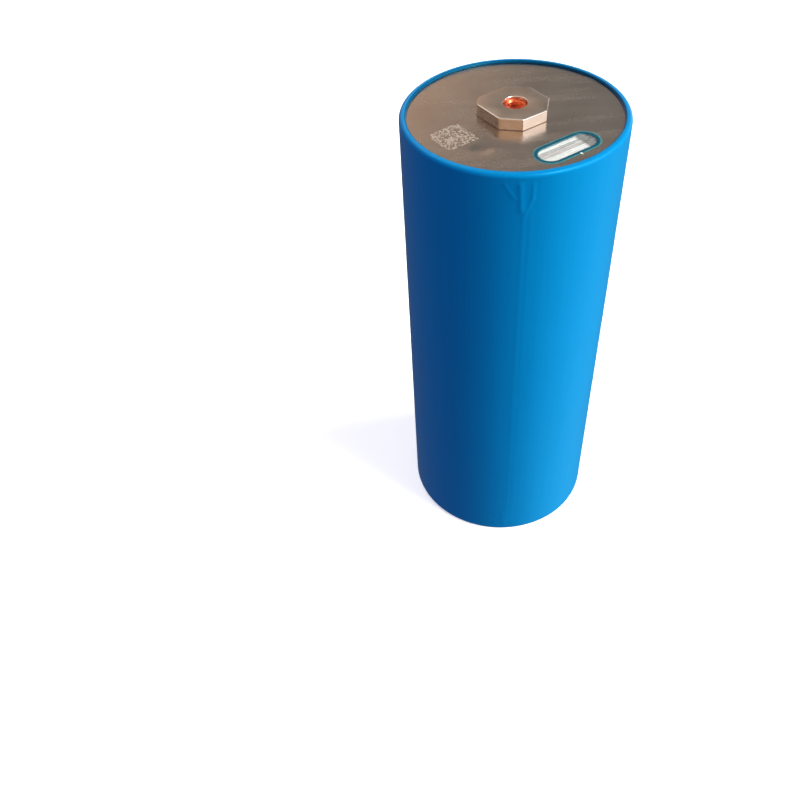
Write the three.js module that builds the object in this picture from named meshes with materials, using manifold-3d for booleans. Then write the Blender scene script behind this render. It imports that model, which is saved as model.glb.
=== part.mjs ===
// A large cylindrical lithium cell: two welded covers close an aluminium tube that holds a wound roll,
// a copper post comes out through the top cover under an eight-sided terminal block, and a blue
// shrink sleeve folds over both rims. Millimetres, +Z up, origin on the axis where the sleeve stands.
import * as THREE from "three";
import { mergeVertices } from "three/addons/utils/BufferGeometryUtils.js";
import Module from "manifold-3d";

const wasm = await Module();
wasm.setup();

// ---- Driving dimensions ----
const CELL_DIAMETER = 66;
const CELL_HEIGHT = 160;
const TERMINAL_PROUD = 2.6; // terminal face above the sleeve's upper rim
const TOP_RECESS = 0.8; // sleeve's upper rim above the top cover
const BASE_RECESS = 0.8; // base cover above the sleeve's lower rim
const GAP = 0.1; // clearance between neighbouring pieces
const SLEEVE = { thickness: 0.4, corner: 1.2, fold: 0.6 }; // radii of the rim, outside and inside
const CAN_WALL = 0.6;
const COVER = { thickness: 1.5, flange: 0.5 }; // the upturned flange is welded to the tube's rim
// One corner is cut less than the others. Turn is the direction that the first long flat faces, in degrees.
const BLOCK = { width: 18.2, chamfers: [4.9, 3.1, 4.9, 4.9], turn: 30.5, bevel: 0.3 };
const POST = { footRadius: 10, footThickness: 1.6, neckRadius: 5, spigotRadius: 3.4, sunk: 1, dish: 0.3 };
const POST_SEAL_WIDTH = 1.4;
const OUTER_INSULATOR = { thickness: 0.2, inset: 0.3 };
const INNER_INSULATOR = { thickness: 1.1, radius: 31 };
const BASE_INSULATOR = { thickness: 0.4, ventMargin: 0.4 };
const ROLL = { bottom: 7.9, top: 148 };

// Features on the covers: degrees about the axis, and millimetres from it.
const TOP_VENT = { angle: -60, radius: 22.9, length: 20.6, width: 9, border: 0.75 };
const BASE_VENT = { angle: -60, radius: 17.8, length: 26.8, width: 13.8, border: 0.8 };
const FILL_PORT = { angle: -122.5, radius: 21, capRadius: 2.5, capDepth: 0.6, boreRadius: 1.3 };
const CODE_NOTCH = { angle: 114, inner: 16.4, width: 11.6 };

// A vent's seat is cut into the cover's outer face and leaves a ledge round the gas window.
// Each piece in it lies between two depths below that face.
const VENT_SEAT_DEPTH = 0.7;
const VENT_LEDGE = 1.3;
const VENT_DEPTHS = { seal: [-0.1, 0.3], film: [0, 0.2], diaphragm: [0.4, 0.6] };

// The wound roll, drawn with few thick turns in place of many thin ones.
const WINDING = { start: 4.4, pitch: 4.2, turns: 5.25, stepsPerTurn: 16, layerGap: 0.25 };
const SHEET = { cathode: 1.3, separator: 0.4, anode: 1.1, overhang: 1.5 };
const CORE = { inner: 3, outer: 4 };
const WRAP = { inner: 30.7, outer: 31.1 };
const COLLECTOR = { radius: 29.5, hole: 2.6, thickness: 0.6 };
const COLLECTOR_SLOTS = { count: 6, radius: 18, length: 13, width: 2.4 };
const TAB = { thickness: 0.5, reach: 9, width: 16 };
const SPACER = { inner: 29.8, outer: 31.2 };

// Sides of round pieces: wide ones, narrow ones, and half of a slot's round end.
const WIDE_SIDES = 48;
const NARROW_SIDES = 24;
const SLOT_STEPS = 8;
const CUT_MARGIN = 1; // how far a cutting tool runs past the face that it cuts

// ---- Places worked out from them ----
const SLEEVE_RADIUS = CELL_DIAMETER / 2;
const SLEEVE_TOP = CELL_HEIGHT - TERMINAL_PROUD;
const CORNER_CENTRE = { radius: SLEEVE_RADIUS - SLEEVE.corner, height: SLEEVE_TOP - SLEEVE.corner };
const CAN_INNER = SLEEVE_RADIUS - SLEEVE.thickness - GAP - CAN_WALL;
const FLANGE_RADIUS = CAN_INNER - GAP;
const FLANGE_INNER = FLANGE_RADIUS - COVER.flange;
const FLANGE_TOP = SLEEVE_TOP - SLEEVE.thickness - 2 * GAP;
const FOLD_OUTER = FLANGE_INNER - GAP; // the sleeve's folded edge lies inside the flange
const FOLD_INNER = FOLD_OUTER - SLEEVE.thickness;
const COVER_TOP = SLEEVE_TOP - TOP_RECESS;
const COVER_UNDER = COVER_TOP - COVER.thickness;
const BASE_INSIDE = BASE_RECESS + COVER.thickness;
const OUTER_INSULATOR_TOP = COVER_TOP + GAP + OUTER_INSULATOR.thickness;
const BLOCK_BOTTOM = OUTER_INSULATOR_TOP + GAP;
const INNER_INSULATOR_TOP = COVER_UNDER - GAP;
const INNER_INSULATOR_BOTTOM = INNER_INSULATOR_TOP - INNER_INSULATOR.thickness;
const POST_FOOT_TOP = INNER_INSULATOR_BOTTOM - GAP;
const POST_FOOT_BOTTOM = POST_FOOT_TOP - POST.footThickness;
const POST_HOLE_RADIUS = POST.neckRadius + POST_SEAL_WIDTH + 2 * GAP; // hole in the top cover

// ---- Materials ----
const material = (color, roughness, metalness, extra = {}) =>
  new THREE.MeshStandardMaterial({ color, roughness, metalness, ...extra });
const SURFACES = {
  sleeve: material(0x0072c8, 0.35, 0),
  cover: material(0x9a8c80, 0.32, 1),
  block: material(0xb9a797, 0.28, 1),
  copper: material(0xd2552a, 0.3, 1),
  aluminium: material(0xc8cacc, 0.35, 1),
  foil: material(0xe3e4e6, 0.2, 1),
  ventSeal: material(0x0f7f9c, 0.3, 0),
  ventFilm: material(0xdff4ff, 0.08, 0, { transparent: true, opacity: 0.35 }),
  darkPlastic: material(0x26333a, 0.75, 0),
  palePlastic: material(0xe6e4dc, 0.5, 0),
  rubber: material(0x2b2b2e, 0.7, 0),
  separator: material(0xf4f4f0, 0.6, 0),
  cathode: material(0x303236, 0.8, 0),
  anode: material(0x23211f, 0.8, 0),
  wrap: material(0x2e63b8, 0.4, 0),
};

// ---- Geometry helpers ----
// Points along an arc in the radius-height plane; angles count in quarter turns from outwards to up.
function arc(centreRadius, centreHeight, radius, from, to, steps = 3) {
  return Array.from({ length: steps + 1 }, (_, i) => {
    const angle = ((from + ((to - from) * i) / steps) * Math.PI) / 2;
    return [centreRadius + radius * Math.cos(angle), centreHeight + radius * Math.sin(angle)];
  });
}

// A closed body of revolution about Z from a profile of [radius, height] points, in either order.
function turned(profile, sides = WIDE_SIDES) {
  const doubleArea = profile.reduce((sum, [radius, height], i) => {
    const [nextRadius, nextHeight] = profile[(i + 1) % profile.length];
    return sum + radius * nextHeight - nextRadius * height;
  }, 0);
  const ordered = doubleArea > 0 ? profile : [...profile].reverse();
  const points = [...ordered, ordered[0]].map(([radius, height]) => new THREE.Vector2(radius, height));
  return new THREE.LatheGeometry(points, sides).rotateX(Math.PI / 2);
}

const ring = (inner, outer, bottom, top, sides = WIDE_SIDES) =>
  turned([[inner, bottom], [outer, bottom], [outer, top], [inner, top]], sides);

// A flat outline raised from one height to another.
function raised(shape, bottom, top, curveSegments = SLOT_STEPS) {
  const options = { depth: top - bottom, bevelEnabled: false, curveSegments };
  return new THREE.ExtrudeGeometry(shape, options).translate(0, 0, bottom);
}

const circle = (radius) => new THREE.Shape().absarc(0, 0, radius, 0, 2 * Math.PI, false);

const disc = (radius, bottom, top, sides = NARROW_SIDES) => raised(circle(radius), bottom, top, sides / 2);

// A slot with round ends, its length along X.
function slot(length, width) {
  const reach = (length - width) / 2;
  return new THREE.Shape()
    .absarc(reach, 0, width / 2, -Math.PI / 2, Math.PI / 2, false)
    .absarc(-reach, 0, width / 2, Math.PI / 2, (3 * Math.PI) / 2, false)
    .closePath();
}

// A square with its corners cut off, centred on the axis. Each corner follows the flat of its own index.
function cutSquare({ width, chamfers, turn }, inset = 0) {
  const reach = width / 2 - inset;
  const corners = chamfers.flatMap((chamfer, quarter) => {
    const angle = THREE.MathUtils.degToRad(turn) + (quarter * Math.PI) / 2;
    const [start, end] = [chamfers.at(quarter - 1), chamfer].map(
      (cutBack) => width / 2 - cutBack - inset * Math.tan(Math.PI / 8),
    );
    return [-start, end].map((y) => new THREE.Vector2(reach, y).rotateAround(new THREE.Vector2(), angle));
  });
  return new THREE.Shape(corners);
}

// Moves a geometry made on the axis, with its length along X, to lie across a radius of the cell.
function across(geometry, { angle, radius }) {
  const turn = THREE.MathUtils.degToRad(angle);
  return geometry
    .rotateZ(turn + Math.PI / 2)
    .translate(radius * Math.cos(turn), radius * Math.sin(turn), 0);
}

// A three.js geometry as a solid of the boolean library, and back.
function solidOf(geometry) {
  const bare = geometry.index ? geometry.toNonIndexed() : geometry.clone();
  bare.deleteAttribute("normal");
  bare.deleteAttribute("uv");
  const merged = mergeVertices(bare);
  return new wasm.Manifold(
    new wasm.Mesh({
      numProp: 3,
      vertProperties: merged.attributes.position.array,
      triVerts: new Uint32Array(merged.index.array),
    }),
  );
}

function geometryOf(solid) {
  const { vertProperties, triVerts } = solid.getMesh();
  const geometry = new THREE.BufferGeometry();
  geometry.setAttribute("position", new THREE.BufferAttribute(new Float32Array(vertProperties), 3));
  geometry.setIndex(new THREE.BufferAttribute(new Uint32Array(triVerts), 1));
  return geometry;
}

const cut = (geometry, ...tools) =>
  geometryOf(tools.reduce((left, tool) => left.subtract(solidOf(tool)), solidOf(geometry)));

// ---- The cell ----
const cell = new THREE.Group();

function add(name, geometry, surface) {
  const mesh = new THREE.Mesh(geometry, surface);
  mesh.name = name;
  cell.add(mesh);
}

const flipped = (profile) => profile.map(([radius, height]) => [radius, SLEEVE_TOP - height]).reverse();

// The sleeve's section at its upper rim: up the outer wall, over the rim, down inside and back.
function sleeveRim(recess) {
  const { thickness, corner, fold } = SLEEVE;
  const foldCentre = [FOLD_INNER + fold, SLEEVE_TOP - fold];
  const foldEnd = SLEEVE_TOP - recess + GAP;
  return [
    ...arc(CORNER_CENTRE.radius, CORNER_CENTRE.height, corner, 0, 1),
    ...arc(...foldCentre, fold, 1, 2),
    [FOLD_INNER, foldEnd],
    [FOLD_OUTER, foldEnd],
    ...arc(...foldCentre, fold - thickness, 2, 1, 2),
    ...arc(CORNER_CENTRE.radius, CORNER_CENTRE.height, corner - thickness, 1, 0),
  ];
}

function addSleeve() {
  const profile = [...sleeveRim(TOP_RECESS), ...flipped(sleeveRim(BASE_RECESS))];
  add("shrink_sleeve", turned(profile), SURFACES.sleeve);
}

function addCan() {
  const corner = SLEEVE.corner - SLEEVE.thickness - GAP;
  const rimAngle = Math.acos((CAN_INNER - CORNER_CENTRE.radius) / corner);
  const rim = arc(CORNER_CENTRE.radius, CORNER_CENTRE.height, corner, 0, rimAngle / (Math.PI / 2));
  add("can_tube", turned([...rim, ...flipped(rim)]), SURFACES.aluminium);
}

// A pan-shaped cover with its flange up, as it sits in the top of the tube.
function coverPan(recess) {
  const face = SLEEVE_TOP - recess;
  return turned([
    [0, face - COVER.thickness],
    [FLANGE_RADIUS, face - COVER.thickness],
    [FLANGE_RADIUS, FLANGE_TOP],
    [FLANGE_INNER, FLANGE_TOP],
    [FLANGE_INNER, face],
    [0, face],
  ]);
}

const heights = (face, inwards, [outer, inner]) =>
  [face + inwards * outer, face + inwards * inner].sort((a, b) => a - b);

// The window that a vent leaves through whatever lies behind its ledge.
const gasWindow = ({ length, width }) => slot(length - 2 * VENT_LEDGE, width - 2 * VENT_LEDGE);

// The seat and the gas window, as tools that cut a cover from its outer face.
function ventTools(vent, face, inwards) {
  const seat = heights(face, inwards, [-CUT_MARGIN, VENT_SEAT_DEPTH]);
  const through = heights(face, inwards, [0, COVER.thickness + CUT_MARGIN]);
  return [
    across(raised(slot(vent.length, vent.width), ...seat), vent),
    across(raised(gasWindow(vent), ...through), vent),
  ];
}

function addCovers() {
  const below = COVER_UNDER - CUT_MARGIN;
  const above = COVER_TOP + CUT_MARGIN;
  const capSeat = COVER_TOP - FILL_PORT.capDepth - GAP;
  const top = cut(
    coverPan(TOP_RECESS),
    disc(POST_HOLE_RADIUS, below, above),
    ...ventTools(TOP_VENT, COVER_TOP, -1),
    across(disc(FILL_PORT.capRadius + GAP, capSeat, above), FILL_PORT),
    across(disc(FILL_PORT.boreRadius + GAP, below, above), FILL_PORT),
  );
  add("top_cover", top, SURFACES.cover);
  const pan = coverPan(BASE_RECESS).rotateX(Math.PI).translate(0, 0, SLEEVE_TOP);
  add("base_cover", cut(pan, ...ventTools(BASE_VENT, BASE_RECESS, 1)), SURFACES.cover);
}

// Scored foil on the ledge, a frame above it, and a clear film inside the frame.
function addVent(side, vent, face, inwards) {
  const outline = [vent.length - 2 * GAP, vent.width - 2 * GAP];
  const opening = outline.map((size) => size - 2 * vent.border);
  const frame = slot(...outline);
  frame.holes.push(slot(...opening));
  const pieces = [
    ["diaphragm", slot(...outline), VENT_DEPTHS.diaphragm, SURFACES.foil],
    ["seal", frame, VENT_DEPTHS.seal, SURFACES.ventSeal],
    ["film", slot(...opening.map((size) => size - 2 * GAP)), VENT_DEPTHS.film, SURFACES.ventFilm],
  ];
  for (const [name, shape, depths, surface] of pieces) {
    add(`${side}_vent_${name}`, across(raised(shape, ...heights(face, inwards, depths)), vent), surface);
  }
}

function addFillPort() {
  const { capRadius, capDepth, boreRadius } = FILL_PORT;
  const seat = COVER_TOP - capDepth;
  add("fill_port_cap", across(disc(capRadius, seat, COVER_TOP), FILL_PORT), SURFACES.cover);
  const plug = disc(boreRadius, COVER_UNDER + GAP, seat - 2 * GAP);
  add("fill_port_plug", across(plug, FILL_PORT), SURFACES.rubber);
}

// The block sits on the post's shoulder, and the post's spigot ends a little way down the block's bore.
function addTerminal() {
  const block = new THREE.ExtrudeGeometry(cutSquare(BLOCK), {
    depth: CELL_HEIGHT - BLOCK_BOTTOM - 2 * BLOCK.bevel,
    bevelThickness: BLOCK.bevel,
    bevelSize: BLOCK.bevel,
    bevelOffset: -BLOCK.bevel,
    bevelSegments: 1,
  }).translate(0, 0, BLOCK_BOTTOM + BLOCK.bevel);
  const bore = disc(POST.spigotRadius + GAP, BLOCK_BOTTOM - CUT_MARGIN, CELL_HEIGHT + CUT_MARGIN);
  add("terminal_block", cut(block, bore), SURFACES.block);

  const insulator = raised(cutSquare(BLOCK, OUTER_INSULATOR.inset), COVER_TOP + GAP, OUTER_INSULATOR_TOP);
  const neckHole = disc(POST.neckRadius + GAP, COVER_TOP, BLOCK_BOTTOM);
  add("outer_terminal_insulator", cut(insulator, neckHole), SURFACES.darkPlastic);

  const shoulder = BLOCK_BOTTOM - GAP;
  const spigotTop = CELL_HEIGHT - POST.sunk;
  const post = turned(
    [
      [0, POST_FOOT_BOTTOM],
      [POST.footRadius, POST_FOOT_BOTTOM],
      [POST.footRadius, POST_FOOT_TOP],
      [POST.neckRadius, POST_FOOT_TOP],
      [POST.neckRadius, shoulder],
      [POST.spigotRadius, shoulder],
      [POST.spigotRadius, spigotTop],
      [POST.spigotRadius / 2, spigotTop - POST.dish],
      [0, spigotTop - POST.dish],
    ],
    NARROW_SIDES,
  );
  add("negative_post", post, SURFACES.copper);
  const sealInner = POST.neckRadius + GAP;
  const seal = ring(sealInner, sealInner + POST_SEAL_WIDTH, COVER_UNDER, COVER_TOP, NARROW_SIDES);
  add("post_seal_ring", seal, SURFACES.rubber);
}

// Pale plate under the top cover, open round the post, under the vent and at the fill port.
function addInnerInsulator() {
  const bottom = INNER_INSULATOR_BOTTOM - CUT_MARGIN;
  const top = INNER_INSULATOR_TOP + CUT_MARGIN;
  const plate = disc(INNER_INSULATOR.radius, INNER_INSULATOR_BOTTOM, INNER_INSULATOR_TOP, WIDE_SIDES);
  const opened = cut(
    plate,
    disc(POST.neckRadius + GAP, bottom, top),
    across(raised(gasWindow(TOP_VENT), bottom, top), TOP_VENT),
    across(disc(FILL_PORT.capRadius, bottom, top), FILL_PORT),
  );
  add("inner_terminal_insulator", opened, SURFACES.palePlastic);
}

// Dark disc on the base cover, with a window for the vent and a notch over the laser-marked code.
function addBaseInsulator() {
  const radius = FOLD_INNER - GAP;
  const top = BASE_RECESS - GAP;
  const bottom = top - BASE_INSULATOR.thickness;
  const margin = 2 * BASE_INSULATOR.ventMargin;
  const window = raised(slot(BASE_VENT.length + margin, BASE_VENT.width + margin), 0, BASE_RECESS);
  const notchDepth = 2 * (radius - CODE_NOTCH.inner);
  const notch = new THREE.BoxGeometry(CODE_NOTCH.width, notchDepth, 2 * BASE_RECESS);
  const notchPlace = { angle: CODE_NOTCH.angle, radius: CODE_NOTCH.inner + notchDepth / 2 };
  const opened = cut(
    disc(radius, bottom, top, WIDE_SIDES),
    across(window, BASE_VENT),
    across(notch, notchPlace),
  );
  add("base_insulator", opened, SURFACES.darkPlastic);
}

// One sheet of the roll: a spiral strip that starts outside the winding core.
function woundSheet(offset, thickness, bottom, top) {
  const steps = WINDING.turns * WINDING.stepsPerTurn;
  const edge = (extra) =>
    Array.from({ length: steps + 1 }, (_, i) => {
      const turns = i / WINDING.stepsPerTurn;
      const radius = WINDING.start + offset + extra + WINDING.pitch * turns;
      return new THREE.Vector2(radius, 0).rotateAround(new THREE.Vector2(), 2 * Math.PI * turns);
    });
  return raised(new THREE.Shape([...edge(thickness), ...edge(0).reverse()]), bottom, top);
}

// The aluminium foil of the cathode reaches down past the rest, and the copper of the anode up.
function addRoll() {
  const { bottom, top } = ROLL;
  const { overhang } = SHEET;
  const separator = [SHEET.separator, bottom + overhang / 2, top - overhang / 2, SURFACES.separator];
  const layers = [
    ["cathode_sheet", SHEET.cathode, bottom, top - overhang, SURFACES.cathode],
    ["separator_inner", ...separator],
    ["anode_sheet", SHEET.anode, bottom + overhang, top, SURFACES.anode],
    ["separator_outer", ...separator],
  ];
  let offset = 0;
  for (const [name, thickness, low, high, surface] of layers) {
    add(name, woundSheet(offset, thickness, low, high), surface);
    offset += thickness + WINDING.layerGap;
  }
  add("winding_core", ring(CORE.inner, CORE.outer, bottom, top, NARROW_SIDES), SURFACES.palePlastic);
  add("roll_wrap", ring(WRAP.inner, WRAP.outer, bottom, top), SURFACES.wrap);
}

// Slotted disc welded to the bare foil edges at one end of the roll.
function collector(bottom) {
  const shape = circle(COLLECTOR.radius);
  shape.holes.push(circle(COLLECTOR.hole));
  const { count, radius, length, width } = COLLECTOR_SLOTS;
  for (let i = 0; i < count; i++) {
    const turn = (2 * Math.PI * i) / count;
    const outline = slot(length, width).getPoints(SLOT_STEPS / 2);
    const placed = outline.map(({ x, y }) =>
      new THREE.Vector2(x + radius, y).rotateAround(new THREE.Vector2(), turn),
    );
    shape.holes.push(new THREE.Path(placed));
  }
  return raised(shape, bottom, bottom + COLLECTOR.thickness, WIDE_SIDES / 2);
}

// Strap between a collector and its pole, folded back on itself at one side.
function foldedTab(bottom, top) {
  const { thickness, reach, width } = TAB;
  const outer = (top - bottom) / 2;
  const shape = new THREE.Shape()
    .moveTo(-reach, 0)
    .lineTo(reach, 0)
    .absarc(reach, outer, outer, -Math.PI / 2, Math.PI / 2, false)
    .lineTo(-reach, 2 * outer)
    .lineTo(-reach, 2 * outer - thickness)
    .lineTo(reach, 2 * outer - thickness)
    .absarc(reach, outer, outer - thickness, Math.PI / 2, -Math.PI / 2, true)
    .lineTo(-reach, thickness)
    .closePath();
  return raised(shape, -width / 2, width / 2)
    .rotateX(Math.PI / 2)
    .translate(0, 0, bottom);
}

function addCurrentPath() {
  const upper = ROLL.top + GAP;
  const lower = ROLL.bottom - GAP - COLLECTOR.thickness;
  const upperTab = [upper + COLLECTOR.thickness + GAP, POST_FOOT_BOTTOM - GAP];
  add("negative_collector", collector(upper), SURFACES.copper);
  add("positive_collector", collector(lower), SURFACES.aluminium);
  add("negative_tab", foldedTab(...upperTab), SURFACES.copper);
  add("positive_tab", foldedTab(BASE_INSIDE + GAP, lower - GAP), SURFACES.aluminium);
  const upperSpacer = [upper, INNER_INSULATOR_BOTTOM - GAP];
  add("upper_spacer_ring", ring(SPACER.inner, SPACER.outer, ...upperSpacer), SURFACES.palePlastic);
  const lowerSpacer = [BASE_INSIDE + GAP, ROLL.bottom - GAP];
  add("lower_spacer_ring", ring(SPACER.inner, SPACER.outer, ...lowerSpacer), SURFACES.palePlastic);
}

addSleeve();
addCan();
addCovers();
addVent("top", TOP_VENT, COVER_TOP, -1);
addVent("base", BASE_VENT, BASE_RECESS, 1);
addFillPort();
addTerminal();
addInnerInsulator();
addBaseInsulator();
addRoll();
addCurrentPath();

export default cell;
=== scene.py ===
"""Looks for a large cylindrical lithium cell: a blue shrink sleeve, metal covers, an eight-sided
terminal block round a copper post's end, and a film-covered vent in each cover."""

import math

import bmesh
import bpy
from mathutils import Matrix, Vector, noise
from mathutils.geometry import delaunay_2d_cdt


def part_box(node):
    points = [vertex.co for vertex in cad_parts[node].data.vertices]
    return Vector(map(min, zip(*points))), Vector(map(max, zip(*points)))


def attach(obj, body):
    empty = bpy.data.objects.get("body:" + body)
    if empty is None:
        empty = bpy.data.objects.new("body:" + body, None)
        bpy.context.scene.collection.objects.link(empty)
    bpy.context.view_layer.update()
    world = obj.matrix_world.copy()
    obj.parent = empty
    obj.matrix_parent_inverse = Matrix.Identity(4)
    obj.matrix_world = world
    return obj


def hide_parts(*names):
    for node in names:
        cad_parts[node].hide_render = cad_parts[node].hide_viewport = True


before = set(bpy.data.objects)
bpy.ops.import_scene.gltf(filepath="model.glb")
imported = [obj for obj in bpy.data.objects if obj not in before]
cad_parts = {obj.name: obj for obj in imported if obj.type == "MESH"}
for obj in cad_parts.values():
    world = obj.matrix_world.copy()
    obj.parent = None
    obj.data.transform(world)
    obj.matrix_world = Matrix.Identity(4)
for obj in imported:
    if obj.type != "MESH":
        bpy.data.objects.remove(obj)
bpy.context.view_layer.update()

MM = 0.001

# ---- Camera: where the photograph was taken from ----
CAMERA_PLACE = (-38.331, -227.852, 282.742)  # mm
CAMERA_PITCH = 0.813  # radians below the horizon
CAMERA_ROLL = 0.073
CAMERA_LENS = 39.33  # mm, on a sensor 36 mm wide
SENSOR_WIDTH = 36

# ---- Details that the CAD model leaves plain, in mm and degrees ----
SLEEVE_WALL = 0.4
FILM_TONES = ((0.0, 0.14, 0.36), (0.0, 0.152, 0.387), (0.0, 0.128, 0.333))
FOLD_PAINTED_SHADE_TONE = 0.3  # the folded-in film's painted shade: its colour as a share of the wall's, darker to stand for the shade in the gap over the cover
FOLD_SHADE = 0.5  # how far out from the lip's inner edge that painted shade reaches
RIM = {"corner": 1.2, "fold": 0.6, "steps": 10, "wrinkle": 0.035}
FOLD_REACH = 16  # how far from a fold line the film is puckered
FAR_FOLD = 0.7  # size of the far fold line against the near one
LOWER_PUCKERS = 0.35  # size of the puckers at the lower rim against the upper ones
PUCKER_RIDGES = (  # start and end (round the sleeve, down from the rim), width, height
    ((-0.1, 3.0), (0.4, 11), 0.8, 0.16),
    ((3.3, 3.0), (3.3, 7.2), 0.5, 0.08),
    ((3.3, 7.2), (1.6, 12), 0.5, 0.08),
    ((-4.2, 3.2), (-1.5, 7.2), 0.5, 0.09),
)
FOLD_LINES = (-95, 85)  # where the tube of film was pressed flat before it shrank
FOLD_DRIFT = 1  # degrees that a fold line wanders over the sleeve's height
BLOCK_TURN = 30.5
BLOCK_WIDTH = 18.2
BLOCK_CHAMFERS = (4.9, 3.1, 4.9, 4.9)  # one corner is cut less, as in the CAD model
BLOCK_CORNERS = (0.3, 0.4, 0.6, 1.2, 1.4, 1.8, 0.3, 0.3)  # radii, from the first flat's start
BLOCK_BEVEL = 0.38
BLOCK_SUNK = 0.16  # the block's foot below the CAD model's, which leaves a thinner line under it
BORE_RADIUS = 3.5
BORE_BEVEL = 0.28
INSULATOR_INSET = 0.12  # of the sheet under the block, from the block's outline
INSULATOR_BORE = 5.1  # radius
POST = {"base": 1.6, "neck": 5, "spigot": 3.4, "chamfer": 0.12, "sunk": 0.22}
POST_HOLE = 6.6  # radius of the top cover's hole
VENT_LEDGE = 1.3
VENT_SEAT = 0.7
VENT_BORDER = 1.0
FOIL_THICK = 0.1
FOIL_RIBS = {"pitch": 2.3, "height": 0.07, "uneven": 0.03, "sunk": 0.1, "flat_end": 4}
FOIL_PAINTED_REFLECTION = (5.0, 6.2)  # where along the slot, from its middle, the foil turns dark: a painted reflection of the brown cover
BURR = {"u": 0.9, "in": 0.3, "reach": 1.3}
BEAD_EDGE = 0.2  # radius of the seal's rounded edges
VENT_SKIRT = 0.4  # thin edge of the seal that lies on the cover
WINDOW_GAP = 0.4  # between the base disc's window and the vent's seal
PORT_RADIUS = 2.5
PORT_GAP = 0.04  # between the port's cap and its seat
PORT_SEAT = 0.7  # depth
PORT_BORE = 1.4  # radius
PORT_DISH = {"reach": 3.8, "depth": 0.17}
CODE_NOTCH = {"angle": 114, "inner": 16.4, "width": 11.6}  # in the base disc
CODE = {"angle": 209.2, "radius": 21.2, "size": 10.4, "turn": 211.6, "cells": 22}

STAGE = {"flat": 2.2, "bend": 0.8, "glow": 0.4}  # metres


# ---- Mesh helpers ----
def extent(node):
    """A CAD node's box in millimetres."""
    low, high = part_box(node)
    return low / MM, high / MM


def circle(radius, count=96, centre=(0, 0)):
    """An outline of as many points."""
    turns = (2 * math.pi * i / count for i in range(count))
    return [(centre[0] + radius * math.cos(t), centre[1] + radius * math.sin(t)) for t in turns]


def moved(outline, centre, turn):
    """An outline turned by that many degrees and then moved."""
    c, s = math.cos(math.radians(turn)), math.sin(math.radians(turn))
    return [(centre[0] + x * c - y * s, centre[1] + x * s + y * c) for x, y in outline]


def slot_outline(length, width, steps=20):
    """A slot with round ends, its length along X."""
    reach = (length - width) / 2
    points = []
    for side in (1, -1):
        for i in range(steps + 1):
            t = math.pi * (i / steps - 0.5)
            x, y = reach + width / 2 * math.cos(t), width / 2 * math.sin(t)
            points.append((side * x, side * y))
    return points


def rounded(corners, radii, steps=6):
    """A polygon, anticlockwise, with each convex corner rounded by its own radius."""
    points = []
    for i, (corner, radius) in enumerate(zip(corners, radii)):
        here = Vector(corner)
        before = (Vector(corners[i - 1]) - here).normalized()
        after = (Vector(corners[(i + 1) % len(corners)]) - here).normalized()
        half = before.angle(after) / 2
        centre = here + (before + after).normalized() * (radius / math.sin(half))
        start = here + before * (radius / math.tan(half)) - centre
        sweep = math.pi - 2 * half
        for k in range(steps + 1):
            points.append(tuple(centre + Matrix.Rotation(sweep * k / steps, 2) @ start))
    return points


def eight_sided(inset):
    """The block's outline, drawn in by inset."""
    reach = BLOCK_WIDTH / 2 - inset
    flat_reach = reach + inset * (1 - math.tan(math.pi / 8))
    corners = []
    for quarter, chamfer in enumerate(BLOCK_CHAMFERS):
        flat = [(reach, BLOCK_CHAMFERS[quarter - 1] - flat_reach), (reach, flat_reach - chamfer)]
        corners += moved(flat, (0, 0), BLOCK_TURN + 90 * quarter)
    return rounded(corners, BLOCK_CORNERS)


def inside(point, outline):
    """Whether a point is within an outline."""
    x, y = point
    hit = False
    for (x0, y0), (x1, y1) in zip(outline, outline[1:] + outline[:1]):
        if (y0 > y) != (y1 > y) and x < x0 + (y - y0) * (x1 - x0) / (y1 - y0):
            hit = not hit
    return hit


def bridge(bm, lower, upper):
    """Quads between two closed loops of as many vertices."""
    for i in range(len(lower)):
        k = (i + 1) % len(lower)
        bm.faces.new((lower[i], lower[k], upper[k], upper[i]))


def cap(bm, loops, loose=()):
    """Triangles between an outer loop and its holes' loops, through loose points (x, y, z)."""
    verts = [v for loop in loops for v in loop] + [bm.verts.new(p) for p in loose]
    edges, start = [], 0
    for loop in loops:
        count = len(loop)
        edges += [(start + i, start + (i + 1) % count) for i in range(count)]
        start += count
    _, _, faces, origins, _, _ = delaunay_2d_cdt([v.co.xy for v in verts], edges, [], 0, 1e-6)
    outlines = [[tuple(v.co.xy) for v in loop] for loop in loops]
    for face in faces:
        corners = [verts[origins[i][0]] for i in face]
        middle = sum((v.co.xy for v in corners), Vector((0, 0))) / 3
        if inside(middle, outlines[0]) and not any(inside(middle, o) for o in outlines[1:]):
            bm.faces.new(corners)


def piece(name, bm, materials, nodes, sharp=35):
    """A finished mesh in the frame, with its materials, hung on the root body; the CAD nodes it
    stands for are hidden.
    """
    bmesh.ops.recalc_face_normals(bm, faces=bm.faces)
    bmesh.ops.transform(bm, matrix=Matrix.Scale(MM, 4), verts=bm.verts)
    mesh = bpy.data.meshes.new(name)
    bm.to_mesh(mesh)
    bm.free()
    for material in materials:
        mesh.materials.append(material)
    mesh.shade_smooth()
    mesh.set_sharp_from_angle(angle=math.radians(sharp))
    obj = bpy.data.objects.new(name, mesh)
    bpy.context.scene.collection.objects.link(obj)
    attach(obj, "root")
    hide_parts(*nodes)
    return obj


def plate(outer, holes=(), loose=()):
    """A flat body. Outer and each hole are stacks of (outline, height), from the top face down."""
    bm = bmesh.new()
    stacks = []
    for stack in (outer, *holes):
        loops = [[bm.verts.new((x, y, height)) for x, y in outline] for outline, height in stack]
        for upper, lower in zip(loops, loops[1:]):
            bridge(bm, lower, upper)
        stacks.append(loops)
    cap(bm, [loops[0] for loops in stacks], loose)
    cap(bm, [loops[-1] for loops in stacks])
    return bm


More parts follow.
